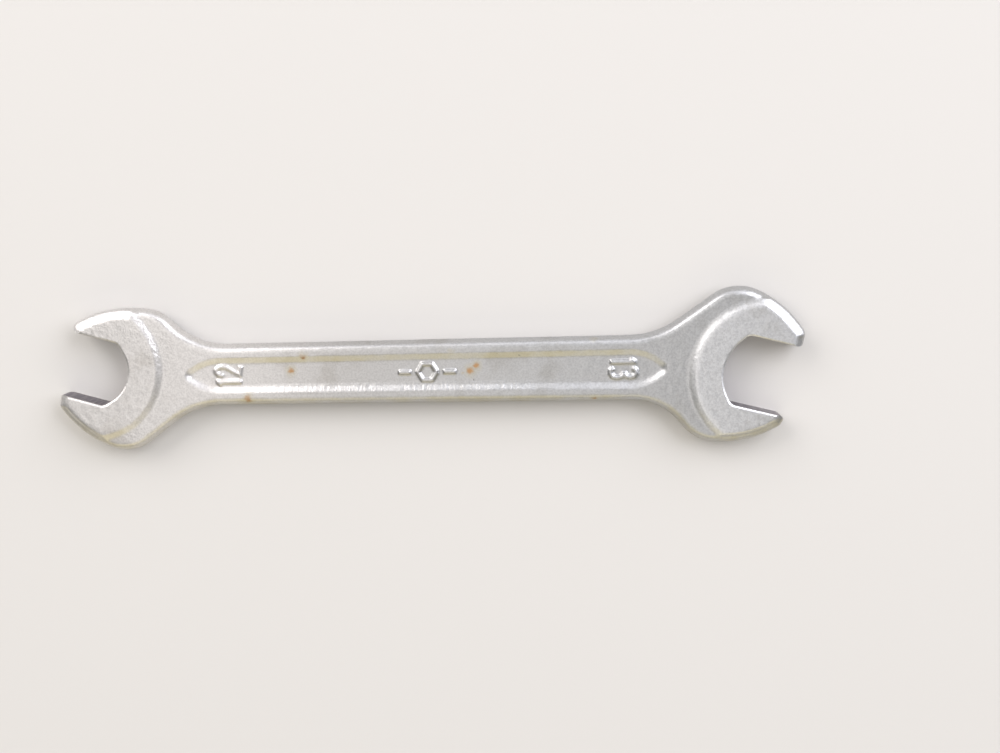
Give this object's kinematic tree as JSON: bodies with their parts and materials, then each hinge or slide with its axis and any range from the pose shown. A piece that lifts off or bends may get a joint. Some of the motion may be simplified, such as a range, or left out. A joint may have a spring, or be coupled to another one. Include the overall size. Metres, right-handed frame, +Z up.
{
  "type": "double open-end wrench",
  "caption": "Flat forged wrench with an angled open jaw at each end, raised pads round the jaws and a sunk panel along the shank.",
  "frame": {"origin": "middle of the outline box, on the plane that the wrench lies on", "axes": "+X along the shank from the 12 mm head to the 13 mm head, +Y across the shank, +Z up off the resting face"},
  "size_m": [0.1398, 0.0292, 0.0052],
  "materials": {
    "plated_steel": "satin"
  },
  "bodies": {
    "root": {"wrench_forging": "plated_steel"}
  },
  "joints": []
}
